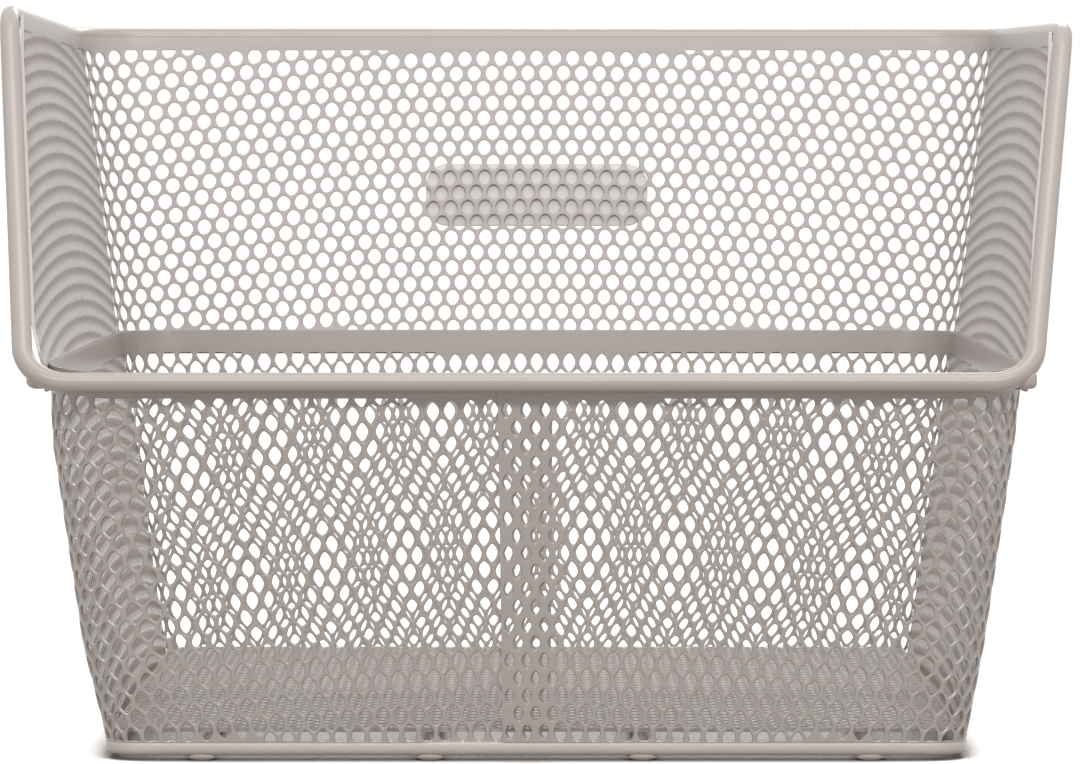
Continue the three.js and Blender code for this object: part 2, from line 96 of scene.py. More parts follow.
layer_step = sheet + clearance
rim_to_mesh = rim_radius + clearance
lower_flare = (seam_half_width - foot_half_width) / (seam_height - wall_bottom)
upper_seam_half_width = seam_half_width + layer_step
upper_flare = (rim_half_width - rim_to_mesh - upper_seam_half_width) / (rim_height - seam_height)
rim_lean_per_height = rim_lean_back / (rim_height - front_rim_height)
front_rim_half_width = upper_seam_half_width + rim_to_mesh - upper_flare * (seam_height - front_rim_height)
left_bend_reach = front_rim_half_width + left_bend_outset
right_bend_reach = front_rim_half_width - right_bend_inset
upper_side_length = 2 * rim_half_length

# Holes: pointed ovals in staggered rows that arch over each wall. Holes end at the plain hems of a sheet.
pitch = 6.0
row_step = 5.8
upper_row_step = 5.5
floor_pitch = 5.8
floor_row_step = 5.1
hole_width = 4.5
hole_height = 6.6
hole_power = 1.5
upper_hole_height = 5.4
upper_hole_power = 1.8
lap_hole_share = 0.72
lap_hole_reach = 7
edge_margin = 0.7
least_hole = 0.5
least_cell = 0.01
arch_drop = 12
arch_foot_share = 0.72
lower_first_row = 113.9
upper_first_row = 226.2
lower_hem_low = 6
lower_hem_high = 117.5
upper_hem_low = 125.8
upper_hem_high = 229
spread_share = 0.04

# Strands of a sheet: narrow bevels, with a wider sloping lip under each hole
bevel_width = 0.2
lip_width = 0.55
most_bevel_share = 0.8
bevel_depth_share = 0.04
hole_depth_share = 0.5
lip_depth_share = 0.26

# Lengths of the flat nets in columns of holes: from the middle of the back wall round a corner, along a side,
# and from the side round a corner to the middle of the front wall. Pairs are for the left and right half.
lower_runs = {"back": 26.25 * pitch, "side": (52.5 * pitch, 52 * pitch), "front": (25.57 * pitch, 26.2 * pitch)}
upper_side_run = upper_side_length / 6.2 * pitch
upper_runs = {"back": 26.3 * pitch, "side": (upper_side_run, upper_side_run), "front": (pitch, pitch)}
corner_middle = 24 * pitch
front_corner_run = 4.5 * pitch

# The lower sheet's ends lap beside the middle of the front wall, and the inner end steps in before the lap
lap_right = 5
lap_left = 12
lap_step = 12
lap_step_setback = 16

# The lower sheet bulges towards its front corners, unlike on the left and right, between its foot and the seam
left_bulge = 3.1
right_bulge = 1.3
bulge_power = 4
bulge_foot_start = 2
bulge_foot_fade = 28
bulge_seam_fade = 25

sharp_angle = math.radians(72)
sheet_sharp_angle = math.radians(20)
same_place = 0.001
halvings = 14


def lerp(start, end, share):
    return start + (end - start) * share


def of_half(pair, along):
    return np.where(along < 0, pair[0], pair[1])


def whole_run(runs, along):
    return runs["back"] + of_half(runs["side"], along) + of_half(runs["front"], along)


left_run, right_run = whole_run(lower_runs, np.array((-1, 1)))


def lower_plan(height):
    """Plan of the lower wall's outer face at a height: half width, front, back and corner radius."""
    rise = (height - wall_bottom) / (seam_height - wall_bottom)
    return {
        "half": foot_half_width + lower_flare * (height - wall_bottom),
        "front": rim_to_mesh - rim_half_length - lower_flare * (height - front_rim_height),
        "back": lower_back_at_seam + lower_flare * (height - seam_height),
        "radius": lerp(foot_corner_radius, seam_corner_radius, rise),
    }


def upper_plan(height):
    rise = (height - seam_height) / (rim_height - seam_height)
    back = rim_half_length - rim_to_mesh - upper_flare * (rim_height - height)
    radius = lerp(seam_corner_radius + layer_step, top_corner_radius, rise)
    return {
        "half": upper_seam_half_width + upper_flare * (height - seam_height),
        "front": back - 2 * radius - upper_side_length,
        "back": back,
        "radius": radius,
    }


def spread(share):
    """Places along half a wall: the holes stand a little closer at its middle than at its ends."""
    return share * (1 - spread_share + spread_share * share ** 2)


def point_on_plan(runs, plan, along, depth):
    """Place on a plan of a flat sheet's point, measured along from the middle of the back wall."""
    reach = np.abs(along)
    radius = plan["radius"]
    flat = plan["half"] - radius
    quarter = flat + radius * math.pi / 2
    side_run = of_half(runs["side"], along)
    front_run = of_half(runs["front"], along)
    to_middle = runs["back"] + side_run + front_run - reach
    from_back = quarter * spread(np.minimum(reach / runs["back"], 1))
    from_front = quarter * spread(np.minimum(to_middle / front_run, 1))
    back_turn = np.clip((from_back - flat) / radius, 0, math.pi / 2)
    front_turn = math.pi / 2 - np.clip((from_front - flat) / radius, 0, math.pi / 2)
    side_share = np.clip((reach - runs["back"]) / side_run, 0, 1)
    hub_x = np.minimum(np.minimum(from_back, from_front), flat)
    hub_y = lerp(plan["back"] - radius, plan["front"] + radius, side_share)
    x = hub_x + (radius - depth) * np.sin(back_turn + front_turn)
    y = hub_y + (radius - depth) * np.cos(back_turn + front_turn)
    return np.where(along < 0, -x, x), y


def arch_at(along, up):
    """Drop of the hole rows from the middle of a wall towards its corners, less near the foot."""
    reach = np.abs(along)
    whole = whole_run(lower_runs, along)
    half_side = whole / 2 - corner_middle
    from_back = reach / corner_middle
    from_side = np.abs(reach - whole / 2) / half_side
    from_front = np.abs(reach - whole) / corner_middle
    rise = np.clip((up - wall_bottom) / (seam_height - wall_bottom), 0, 1)
    drop = arch_drop * lerp(arch_foot_share, 1, rise)
    return drop * np.minimum(np.minimum(from_back, from_side), from_front) ** 2


def no_arch(along, up):
    return 0 * along


def place_lower(along, up, depth):
    front_start = lower_runs["back"] + of_half(lower_runs["side"], along)
    front_turn = np.clip((np.abs(along) - front_start) / front_corner_run, 0, 1)
    top = lerp(seam_height, lower_top_at_front, front_turn)
    height = wall_bottom + (up - wall_bottom) * (top - wall_bottom) / (seam_height - wall_bottom)
    step_start = left_run - lap_left - lap_step_setback - lap_step
    stepped = np.clip((-along - step_start) / lap_step, 0, 1)
    plan = lower_plan(height)
    x, y = point_on_plan(lower_runs, plan, along, depth + layer_step * stepped)
    above_foot = (height - wall_bottom - bulge_foot_start) / bulge_foot_fade
    below_seam = (seam_height - height) / bulge_seam_fade
    bulge = of_half((left_bulge, right_bulge), along) * np.clip(np.minimum(above_foot, below_seam), 0, 1)
    bulge = bulge * (np.abs(x) / plan["half"]) ** bulge_power * forward_share(plan, y, plan["front"]) ** 2
    return np.stack([x + np.sign(along) * bulge, y, height], axis=-1)


def forward_share(plan, y, edge_y):
    """How far forward a point of the upper sheet's side lies, from the back corner to an edge."""
    start = plan["back"] - plan["radius"]
    return np.maximum(0, (start - y) / (start - edge_y))


def upper_edge_y(height):
    """The upper sheet's front edges lean back with the rim's uprights, and are upright at the foot."""
    leaning = upper_front_setback - rim_half_length + rim_lean_per_height * (height - front_rim_height)
    return np.maximum(leaning, -upper_front_cut)


def swing_at(along, height):
    """Swing of a side of the upper sheet at its front edge, to stand just inside the rim's upright."""
    bend_reach = of_half((left_bend_reach, right_bend_reach), along)
    upright = lerp(bend_reach, rim_half_width, (height - front_rim_height) / (rim_height - front_rim_height))
    swing = upright - upper_inside_rim - upper_plan(height)["half"]
    above_seam = (height - seam_height) / np.where(swing < 0, swing_in_fade, swing_out_fade)
    below_rim = (rim_height - height) / swing_out_fade
    return swing * np.clip(np.minimum(above_seam, below_rim), 0, 1)


def place_upper(along, up, depth):
    plan = upper_plan(up)
    x, y = point_on_plan(upper_runs, plan, along, depth)
    swing = swing_at(along, up) * forward_share(plan, y, upper_edge_y(up)) ** 2
    lift = of_half((left_corner_lift, -right_corner_drop), along)
    forward = forward_share(upper_plan(rim_height), y, rim_lean_back - rim_half_length)
    rise = (up - upper_bottom) / (rim_height - upper_bottom)
    return np.stack([x + np.sign(along) * swing, y, up + lift * forward * rise], axis=-1)


def place_floor(along, up, depth):
    return np.stack([along, up, floor_bottom + sheet - depth + 0 * along], axis=-1)


def lower_bounds(along, up):
    """A point of the lower sheet's flat net, brought inside the net's outline."""
    return np.clip(along, -left_run - lap_right, right_run + lap_left), np.clip(up, wall_bottom, seam_height)


def upper_bounds(along, up):
    up = np.clip(up, upper_bottom, rim_height)
    plan = upper_plan(up)
    side_share = (plan["back"] - plan["radius"] - upper_edge_y(up)) / upper_side_length
    reach = upper_runs["back"] + side_share * upper_side_run
    return np.clip(along, -reach, reach), up


def floor_bounds(along, up):
    middle = (floor_low[1] + floor_high[1]) / 2
    core_x = floor_high[0] - floor_corner_radius
    core_y = (floor_high[1] - floor_low[1]) / 2 - floor_corner_radius
    near_x = np.clip(along, -core_x, core_x)
    near_y = np.clip(up - middle, -core_y, core_y)
    away = np.hypot(along - near_x, up - middle - near_y)
    share = np.minimum(1, floor_corner_radius / np.maximum(away, same_place))
    return near_x + (along - near_x) * share, middle + near_y + (up - middle - near_y) * share


def to_object(name, points, faces, finish, node, sharp=sharp_angle):
    """Smooth mesh object from points in millimetres and faces, in place of a node."""
    mesh = bpy.data.meshes.new(name)
    mesh.from_pydata((points * MM).tolist(), [], faces)
    mesh.shade_smooth()
    mesh.set_sharp_from_angle(angle=sharp)
    mesh.materials.append(finish)
    piece = bpy.data.objects.new(name, mesh)
    bpy.context.scene.collection.objects.link(piece)
    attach(piece, "root")
    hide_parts(node)


# The twelve points round a cell, in steps of a quarter pitch and half a row from its lowest tip
CELL_POINTS = np.array((
    (0, 0), (1, 0), (2, 0), (2, 1), (2, 2), (1, 2), (0, 2), (-1, 2), (-2, 2), (-2, 1), (-2, 0), (-1, 0),
))


def cells(low, high, step, rise, first_row, keep):
    """Columns and rows of the staggered cells between two corners of a flat net."""
    top = high[1] + arch_drop
    columns = np.arange(math.floor(2 * low[0] / step) - 1, math.ceil(2 * high[0] / step) + 2)
    rows = np.arange(math.floor((low[1] - first_row) / rise) - 1, math.ceil((top - first_row) / rise) + 2)
    column, row = (side.ravel() for side in np.meshgrid(columns, rows))
    kept = ((column + row) % 2 == 0) & keep(column * step / 2)
    return column[kept, None], row[kept, None]


def halved(side):
    """Rows of values with the middle of each step put in between."""
    return np.stack([side, (side + np.roll(side, -1, axis=1)) / 2], axis=-1).reshape(len(side), -1)


def inside_share(start_x, start_y, end_x, end_y, is_inside):
    """How much of each line from a start inside to an end lies inside."""
    near = np.zeros_like(end_x)
    far = np.ones_like(end_x)
    for _ in range(halvings):
        share = (near + far) / 2
        inside = is_inside(lerp(start_x, end_x, share), lerp(start_y, end_y, share))
        near = np.where(inside, share, near)
        far = np.where(inside, far, share)
    return near


def cut_to_net(flat_x, flat_y, bounds):
    """Outlines of the cells, cut along the flat net's outline, with the points that were moved onto it."""
    def is_on_net(x, y):
        bound_x, bound_y = bounds(x, y)
        return np.hypot(bound_x - x, bound_y - y) < same_place

    inside = is_on_net(flat_x, flat_y)
    count = np.maximum(inside.sum(axis=1, keepdims=True), 1)
    start_x = (flat_x * inside).sum(axis=1, keepdims=True) / count
    start_y = (flat_y * inside).sum(axis=1, keepdims=True) / count
    for way in (-1, 1):
        is_next = np.roll(inside, way, axis=1)
        start_x = np.where(is_next, np.roll(flat_x, way, axis=1), start_x)
        start_y = np.where(is_next, np.roll(flat_y, way, axis=1), start_y)
    share = np.where(inside, 1, inside_share(start_x, start_y, flat_x, flat_y, is_on_net))
    return lerp(start_x, flat_x, share), lerp(start_y, flat_y, share), ~inside


def band(outer, inner):
    """Two triangles for each step round two rings of point numbers."""
    next_outer = np.roll(outer, -1, axis=1)
    next_inner = np.roll(inner, -1, axis=1)
    return [
        np.stack([outer, next_outer, next_inner], axis=-1).reshape(-1, 3),
        np.stack([outer, next_inner, inner], axis=-1).reshape(-1, 3),
    ]


def sheet_edge(faces, partner):
    """Faces between the two sides of a sheet wherever its outer face ends."""
    sides = np.concatenate([faces[:, [0, 1]], faces[:, [1, 2]], faces[:, [2, 0]]])
    size = len(partner)
    is_open = ~np.isin(sides[:, 0] * size + sides[:, 1], sides[:, 1] * size + sides[:, 0])
    start, end = sides[is_open & (partner[sides[:, 0]] >= 0) & (partner[sides[:, 1]] >= 0)].T
    return [np.stack([end, start, partner[start]], axis=1), np.stack([end, partner[start], partner[end]], axis=1)]


def perforated(name, node, finish, keep, layout):
    """Sheet with staggered pointed holes and rounded strands, laid out flat by cells and then put in place.

    keep says from a cell's middle whether this piece has it.
    """
    step, rise, first_row, arch = layout["step"], layout["rise"], layout["first_row"], layout["arch"]
    column, row = cells(layout["low"], layout["high"], step, rise, first_row, keep)
    key_x = 2 * column + CELL_POINTS[:, 0]
    key_y = 2 * row + CELL_POINTS[:, 1]
    is_tip = (key_x % 2 == 0) & (key_y % 2 == 0)
    way = np.where((key_x // 2 + key_y // 2) % 2 == 1, 1, -1)
    flat_x = key_x * step / 4
    flat_y = (key_y - 1) * rise / 2 + is_tip * way * rise / 6 + first_row
    flat_y = flat_y - arch(flat_x, flat_y)
    if layout["is_fine"]:
        flat_x, flat_y = halved(flat_x), halved(flat_y)
    edge_x, edge_y, moved = cut_to_net(flat_x, flat_y, layout["bounds"])
    area = (edge_x * np.roll(edge_y, -1, axis=1) - np.roll(edge_x, -1, axis=1) * edge_y).sum(axis=1) / 2
    there = (area > least_cell) & ~moved.all(axis=1)
    edge_x, edge_y, moved, column, row = (side[there] for side in (edge_x, edge_y, moved, column, row))

    hem_low, hem_high = layout["hems"]
    middle_x = edge_x.mean(axis=1, keepdims=True)
    middle_y = np.clip(edge_y, hem_low, hem_high).mean(axis=1, keepdims=True)
    hole_x = column * step / 2
    hole_y = row * rise + first_row
    size = layout["hole_share"](hole_x)
    width, height, power = layout["hole"]

    def is_inside(x, y):
        off_x = np.abs(x - hole_x) * 2 / (width * size)
        off_y = np.abs(y + arch(x, hole_y) - hole_y) * 2 / (height * size)
        return (off_x ** power + off_y ** power < 1) & (y > hem_low) & (y < hem_high)

    length = np.maximum(np.hypot(edge_x - middle_x, edge_y - middle_y), same_place)
    share = inside_share(middle_x, middle_y, edge_x, edge_y, is_inside)
    share = np.minimum(share, np.where(moved, np.maximum(1 - edge_margin / length, 0), 1))
    has_hole = (share * length).min(axis=1) > least_hole
    middle_y = np.where(has_hole[:, None], middle_y, edge_y.mean(axis=1, keepdims=True))
    down = np.clip((middle_y - edge_y) / length, 0, 1) ** 2
    most_bevel = (1 - share) * most_bevel_share
    rings = (
        (1, 0),
        (share + np.minimum(lerp(bevel_width, lip_width, down) / length, most_bevel), bevel_depth_share),
        (share, lerp(hole_depth_share, lip_depth_share, down)),
        (share + np.minimum(bevel_width / length, most_bevel), 1 - bevel_depth_share),
        (1, 1),
        (0, 0),
        (0, 1),
    )
    place = layout["place"]
    points = np.concatenate([
        place(lerp(middle_x, edge_x, out), lerp(middle_y, edge_y, out), sheet * deep).reshape(-1, 3)
        for out, deep in rings
    ])
    numbers = np.arange(len(points)).reshape(len(rings), *edge_x.shape)
    faces = []
    *strand, middle_out, middle_in = numbers
    for outer, inner in zip(strand, strand[1:]):
        faces += band(outer[has_hole], inner[has_hole])
    faces += band(strand[0][~has_hole], middle_out[~has_hole])
    faces += band(middle_in[~has_hole], strand[-1][~has_hole])

    # Points in one place become one, and faces without area go
    _, first, number = np.unique(np.round(points / same_place), axis=0, return_index=True, return_inverse=True)
    number = number.reshape(-1)
    points = points[first]
    faces = number[np.concatenate(faces)]
    a, b, c = faces.T
    faces = faces[(a != b) & (b != c) & (c != a)]
    partner = np.full(len(points), -1)
    partner[number[strand[0]]] = number[strand[-1]]
    faces = np.concatenate([faces, *sheet_edge(faces, partner)])
    a, b, c = points[faces].transpose(1, 0, 2)
    if (a * np.cross(b, c)).sum() < 0:
        faces = faces[:, ::-1]
    used, faces = np.unique(faces, return_inverse=True)
    faces = faces.reshape(-1, 3).tolist()
    to_object(name, points[used], faces, finish, node, sheet_sharp_angle)


def rounded_loop(corners, steps):
    """Points and directions along a closed line with rounded corners, given as places and radii."""
    points, ways = [], []
    for number, (corner, radius) in enumerate(corners):
        corner = np.array(corner, float)
        before = np.array(corners[number - 1][0], float)
        after = np.array(corners[(number + 1) % len(corners)][0], float)
        into = (corner - before) / np.linalg.norm(corner - before)
        out = (after - corner) / np.linalg.norm(after - corner)
        turn = math.acos(into @ out)
        inwards = out - into * (into @ out)
        inwards /= np.linalg.norm(inwards)
        centre = corner - into * radius * math.tan(turn / 2) + inwards * radius
        for angle in np.linspace(0, turn, steps):
            points.append(centre - inwards * radius * math.cos(angle) + into * radius * math.sin(angle))
            ways.append(into * math.cos(angle) + inwards * math.sin(angle))
    return np.array(points), np.array(ways)


def section(power, sides):
    """Outline of a bar one unit in half width and height: round for a power of two, boxier for more."""
    angle = np.arange(sides)[:, None] * 2 * math.pi / sides
    across, up = np.cos(angle), np.sin(angle)
    return np.sign(across) * np.abs(across) ** (2 / power), np.sign(up) * np.abs(up) ** (2 / power)


def skin(name, rings, is_loop, finish, node):
    """Closed body through rings of points. A loop joins its last ring to its first, a bar gets two ends."""
    count, size = rings.shape[:2]
    numbers = np.arange(count * size).reshape(count, size)
    upto = count if is_loop else count - 1
    here = numbers[:upto]
    after = np.roll(numbers, -1, axis=0)[:upto]
    quads = np.stack([here, np.roll(here, -1, axis=1), np.roll(after, -1, axis=1), after], axis=-1)
    faces = quads.reshape(-1, 4).tolist()
    if not is_loop:
        faces += [numbers[0, ::-1].tolist(), numbers[-1].tolist()]
    to_object(name, rings.reshape(-1, 3), faces, finish, node)


def loop_tube(name, corners, out, high, finish, node, steps=20):
    points, ways = rounded_loop(corners, steps)
    outwards = points * (1, 1, 0)
    across = outwards - ways * (outwards * ways).sum(axis=1, keepdims=True)
    across /= np.linalg.norm(across, axis=1, keepdims=True)
    up = np.cross(across, ways)
    up *= np.sign(up[:, 2:])
    rings = points[:, None] + out * across[:, None] + high * up[:, None]
    skin(name, rings, True, finish, node)


def bar(name, centres, across, up, power, finish, node):
    """Straight bar through centres, each with its half width and half height as lengths with a direction."""
    out, high = section(power, tube_sides)
    skin(name, centres[:, None] + across[:, None] * out + up[:, None] * high, False, finish, node)


tube_sides = 28
grain_per_metre = 2600
grain_depth = 0.0002
cloud_per_metre = 28


def powder_coat(name, colour, roughness, gloss_level=0.5):
    """Powder coat: a fine orange-peel bump and a faint change of colour, the same grain on every piece."""
    material = bpy.data.materials.new(name)
    material.use_nodes = True
    nodes, links = material.node_tree.nodes, material.node_tree.links
    shader = nodes["Principled BSDF"]
    shader.inputs["Roughness"].default_value = roughness
    shader.inputs["Specular IOR Level"].default_value = gloss_level
    place = nodes.new("ShaderNodeTexCoord")
    grain = nodes.new("ShaderNodeTexNoise")
    grain.inputs["Scale"].default_value = grain_per_metre
    grain.inputs["Detail"].default_value = 2
    bump = nodes.new("ShaderNodeBump")
    bump.inputs["Strength"].default_value = 0.12
    bump.inputs["Distance"].default_value = grain_depth
    cloud = nodes.new("ShaderNodeTexNoise")
    cloud.inputs["Scale"].default_value = cloud_per_metre
    cloud.inputs["Detail"].default_value = 3
    tint = nodes.new("ShaderNodeMix")
    tint.data_type = "RGBA"
    tint.inputs[6].default_value = (*(part * 0.95 for part in colour), 1)
    tint.inputs[7].default_value = (*(min(1, part * 1.04) for part in colour), 1)
    links.new(place.outputs["Object"], grain.inputs["Vector"])
    links.new(place.outputs["Object"], cloud.inputs["Vector"])
    links.new(grain.outputs["Fac"], bump.inputs["Height"])
    links.new(bump.outputs["Normal"], shader.inputs["Normal"])
    links.new(cloud.outputs["Fac"], tint.inputs[0])
    links.new(tint.outputs[2], shader.inputs["Base Color"])
    return material


def linear(red, green, blue):
    """Linear colour from the eight-bit values of a screen colour."""
    return tuple(((value / 255 + 0.055) / 1.055) ** 2.4 for value in (red, green, blue))


tube_finish = powder_coat("tube_coat", linear(190, 181, 174), 0.3)
# The lower mesh, on the lower walls and the floor, is painted darker than the tube. This is painted shade for
# strand faces turned from the light, on the same powder coat.
mesh_painted_shade = powder_coat("lower_mesh_painted_shade_coat", linear(177, 168, 162), 0.24, 0.9)
# The upper mesh is painted lighter than the lower mesh. This is painted light on the inner faces of the back and
# side walls, on the same powder coat.
upper_mesh_painted_light = powder_coat("upper_mesh_painted_light_coat", linear(200, 193, 189), 0.34)
wire_finish = powder_coat("wire_coat", linear(182, 174, 168), 0.3)
# The ring is painted lighter than the tube and wires. This is painted light for its smooth upright face in the
# front lamp, on the same powder coat.
ring_painted_light = powder_coat("ring_painted_light_coat", linear(214, 206, 200), 0.3)
# The plate is painted lighter than the tube. This is painted light for its face, which lies in the back wall's
# shade and is seen through the holes.
plate_painted_light = powder_coat("plate_painted_light_coat", linear(232, 227, 223), 0.4)

# Rim
rim_corners = (
    ((-left_bend_reach, -rim_half_length, front_rim_height), front_bend_radius),
    ((right_bend_reach, -rim_half_length, front_rim_height), front_bend_radius),
    ((rim_half_width, rim_lean_back - rim_half_length, rim_height - right_corner_drop), top_bend_radius),
    ((rim_half_width, rim_half_length, rim_height), top_corner_radius + rim_to_mesh),
    ((-rim_half_width, rim_half_length, rim_height), top_corner_radius + rim_to_mesh),
    ((-rim_half_width, rim_lean_back - rim_half_length, rim_height + left_corner_lift), top_bend_radius),
)
round_out, round_high = section(2, tube_sides)
loop_tube("rim", rim_corners, rim_radius * round_out, rim_radius * round_high, tube_finish, "rim_tube")

# Walls and floor
lower_sheet = {
    "place": place_lower,
    "bounds": lower_bounds,
    "low": (-left_run - lap_right, wall_bottom),
    "high": (right_run + lap_left, seam_height),
    "first_row": lower_first_row,
    "step": pitch,
    "rise": row_step,
    "hole": (hole_width, hole_height, hole_power),
    "hole_share": lambda along: np.where(along > right_run - lap_hole_reach, lap_hole_share, 1),
    "hems": (lower_hem_low, lower_hem_high),
    "arch": arch_at,
    "is_fine": True,
}
upper_reach = upper_runs["back"] + upper_side_run
upper_sheet = {
    **lower_sheet,
    "place": place_upper,
    "bounds": upper_bounds,
    "low": (-upper_reach, upper_bottom),
    "high": (upper_reach, rim_height),
    "first_row": upper_first_row,
    "rise": upper_row_step,
    "hole": (hole_width, upper_hole_height, upper_hole_power),
    "hole_share": lambda along: 1,
    "hems": (upper_hem_low, upper_hem_high),
}
floor_sheet = {
    **upper_sheet,
    "place": place_floor,
    "bounds": floor_bounds,
    "low": floor_low,
    "high": floor_high,
    "first_row": 0,
    "step": floor_pitch,
    "rise": floor_row_step,
    "hems": (floor_low[1], floor_high[1]),
    "arch": no_arch,
    "is_fine": False,
}
front_corner = left_run - corner_middle
middle_of_side = left_run / 2


def between(start, end):
    return lambda middle: (middle >= start) & (middle < end)


sheet_pieces = (
    ("lower_mesh", "back", lower_sheet, between(-corner_middle, corner_middle)),
    ("lower_mesh", "right_back", lower_sheet, between(corner_middle, middle_of_side)),
    ("lower_mesh", "right_front", lower_sheet, between(middle_of_side, front_corner)),
    ("lower_mesh", "left_back", lower_sheet, between(-middle_of_side, -corner_middle)),
    ("lower_mesh", "left_front", lower_sheet, between(-front_corner, -middle_of_side)),
    ("lower_mesh", "front_right", lower_sheet, between(front_corner, math.inf)),
    ("lower_mesh", "front_left", lower_sheet, between(-math.inf, -front_corner)),
    ("upper_mesh", "back", upper_sheet, between(-corner_middle, corner_middle)),
    ("upper_mesh", "right_back", upper_sheet, between(corner_middle, middle_of_side)),
    ("upper_mesh", "right_front", upper_sheet, between(middle_of_side, math.inf)),
    ("upper_mesh", "left_back", upper_sheet, between(-middle_of_side, -corner_middle)),
    ("upper_mesh", "left_front", upper_sheet, between(-math.inf, -middle_of_side)),
    ("floor_mesh", "left", floor_sheet, between(-math.inf, 0)),
    ("floor_mesh", "right", floor_sheet, between(0, math.inf)),
)
# The upper sheet gets the lighter coat (painted light), and the lower and floor sheets get the darker one
# (painted shade).
for node, part, layout, keep in sheet_pieces:
    finish = upper_mesh_painted_light if node == "upper_mesh" else mesh_painted_shade
    perforated(f"{node}_{part}", node, finish, keep, layout)

# Bottom ring: the walls' foot is rolled round it, so that no line shows between sheet and ring
ring_power = 4
ring_outset = 0.15
ring_cover = 0.2
ring_middle = 4.2
ring_radius = (ring_high[2] - ring_low[2]) / 2
foot = lower_plan(wall_bottom)
ring_x = foot["half"] - ring_radius + ring_outset
ring_front = foot["front"] + ring_radius - ring_outset
ring_back = foot["back"] - ring_radius + ring_outset
ring_corners = tuple(
    ((x, y, ring_middle), foot["radius"] - ring_radius + ring_outset)
    for x, y in ((-ring_x, ring_front), (ring_x, ring_front), (ring_x, ring_back), (-ring_x, ring_back))
)
square_out, square_high = section(ring_power, tube_sides)
is_low = round_high < 0
ring_out = ring_radius * np.where(is_low, round_out, square_out)
ring_up = np.where(
    is_low, (ring_middle - ring_low[2]) * round_high, (ring_high[2] + ring_cover - ring_middle) * square_high,
)
loop_tube("ring", ring_corners, ring_out, ring_up, ring_painted_light, "bottom_ring")

# Floor wires, flattened to tongues at both ends, and cross wires
tongue_thickness = 2.4
tongue_length = 5
tongue_taper = 9
wire_end_round = 0.6
tongue_end_round = 1.2
taper_steps = 9
round_steps = 6


def rounding(reach, radius):
    """Share of full size at a distance from a rounded end."""
    near = 1 - np.minimum(reach / radius, 1)
    return np.sqrt(np.maximum(1 - near * near, same_place))


def end_stations(length, round_length):
    """Distances from the end of a bar, closer together where it is rounded."""
    first = round_length * np.linspace(0, 1, round_steps) ** 2
    return np.concatenate([first, np.linspace(round_length, length, taper_steps)[1:]])


def floor_wire(node):
    low, high = box_mm(node)
    thickness = high[2] - low[2]
    reach = end_stations(tongue_length + tongue_taper, tongue_end_round)
    share = np.clip((tongue_length + tongue_taper - reach) / tongue_taper, 0, 1)
    flatness = share * share * (3 - 2 * share)
    size = rounding(reach, tongue_end_round)
    half_width = lerp(thickness, high[0] - low[0], flatness) / 2 * size
    half_height = lerp(thickness, tongue_thickness, flatness) / 2
    y = np.concatenate([low[1] + reach, high[1] - reach[::-1]])
    half_width = np.concatenate([half_width, half_width[::-1]])[:, None]
    middle_height = np.concatenate([half_height, half_height[::-1]])[:, None]
    half_height = np.concatenate([half_height * size, (half_height * size)[::-1]])[:, None]
    centres = np.stack([0 * y + (low[0] + high[0]) / 2, y, middle_height[:, 0]], axis=1)
    bar(node, centres, half_width * (1, 0, 0), half_height * (0, 0, 1), 2, wire_finish, node)


def cross_wire(node):
    low, high = box_mm(node)
    radius = (high[2] - low[2]) / 2
    reach = end_stations(tongue_length, wire_end_round)
    x = np.concatenate([low[0] + reach, high[0] - reach[::-1]])[:, None]
    size = rounding(np.minimum(x - low[0], high[0] - x), wire_end_round) * radius
    centres = (low + high) / 2 * (0, 1, 1) + x * (1, 0, 0)
    bar(node, centres, size * (0, 1, 0), size * (0, 0, 1), 2, wire_finish, node)


for number in (1, 2, 3, 4):
    floor_wire(f"floor_wire_{number}")
for name in ("front", "middle", "back"):
    cross_wire(f"cross_wire_{name}")


# Lugs: soft blocks that fill the corner under each front bend
def lug(node, power, round_length):
    low, high = box_mm(node)
    high = np.array((high[0], high[1], front_rim_height + lug_rise))
    reach = end_stations((high[1] - low[1]) / 2, round_length)
    y = np.concatenate([low[1] + reach, (high[1] - reach[::-1])[1:]])[:, None]
    size = rounding(np.minimum(y - low[1], high[1] - y), round_length)
    centres = (low + high) / 2 * (1, 0, 1) + y * (0, 1, 0)
    half = (high - low) / 2
    bar(node, centres, size * half * (1, 0, 0), size * half * (0, 0, 1), power, tube_finish, node)


lug_rise = 3.7
lug("corner_lug_left", 2.6, 3)
lug("corner_lug_right", 3.4, 2)

# Rear plate, with bevelled edges, flat on the sloping back wall
plate_width = 82
plate_height = 23
plate_thickness = 1.5
plate_corner_radius = 8
plate_centre_height = 175.5
plate_bevel = 0.4
lean = math.atan(upper_flare)
plate_foot = np.array((0, upper_plan(plate_centre_height)["back"] + clearance, plate_centre_height))
plate_across = np.array((1, 0, 0))
plate_up = np.array((0, math.sin(lean), math.cos(lean)))
plate_out = np.array((0, math.cos(lean), -math.sin(lean)))


def plate_outline(inset, out):
    right = plate_width / 2 - inset
    top = plate_height / 2 - inset
    corners = tuple(((x, y, out), plate_corner_radius - inset) for x, y in (
        (right, -top), (right, top), (-right, top), (-right, -top),
    ))
    flat = rounded_loop(corners, 12)[0]
    return plate_foot + flat[:, :1] * plate_across + flat[:, 1:2] * plate_up + flat[:, 2:] * plate_out


bevel_turns = np.linspace(0, math.pi / 2, 5)
bevel_insets = plate_bevel * (1 - np.sin(bevel_turns))
bevel_outs = plate_bevel * (1 - np.cos(bevel_turns))
plate_rings = [plate_outline(inset, out) for inset, out in zip(bevel_insets, bevel_outs)]
plate_rings += [
    plate_outline(inset, plate_thickness - out) for inset, out in zip(bevel_insets[::-1], bevel_outs[::-1])
]
skin("plate", np.array(plate_rings), False, plate_painted_light, "rear_plate")


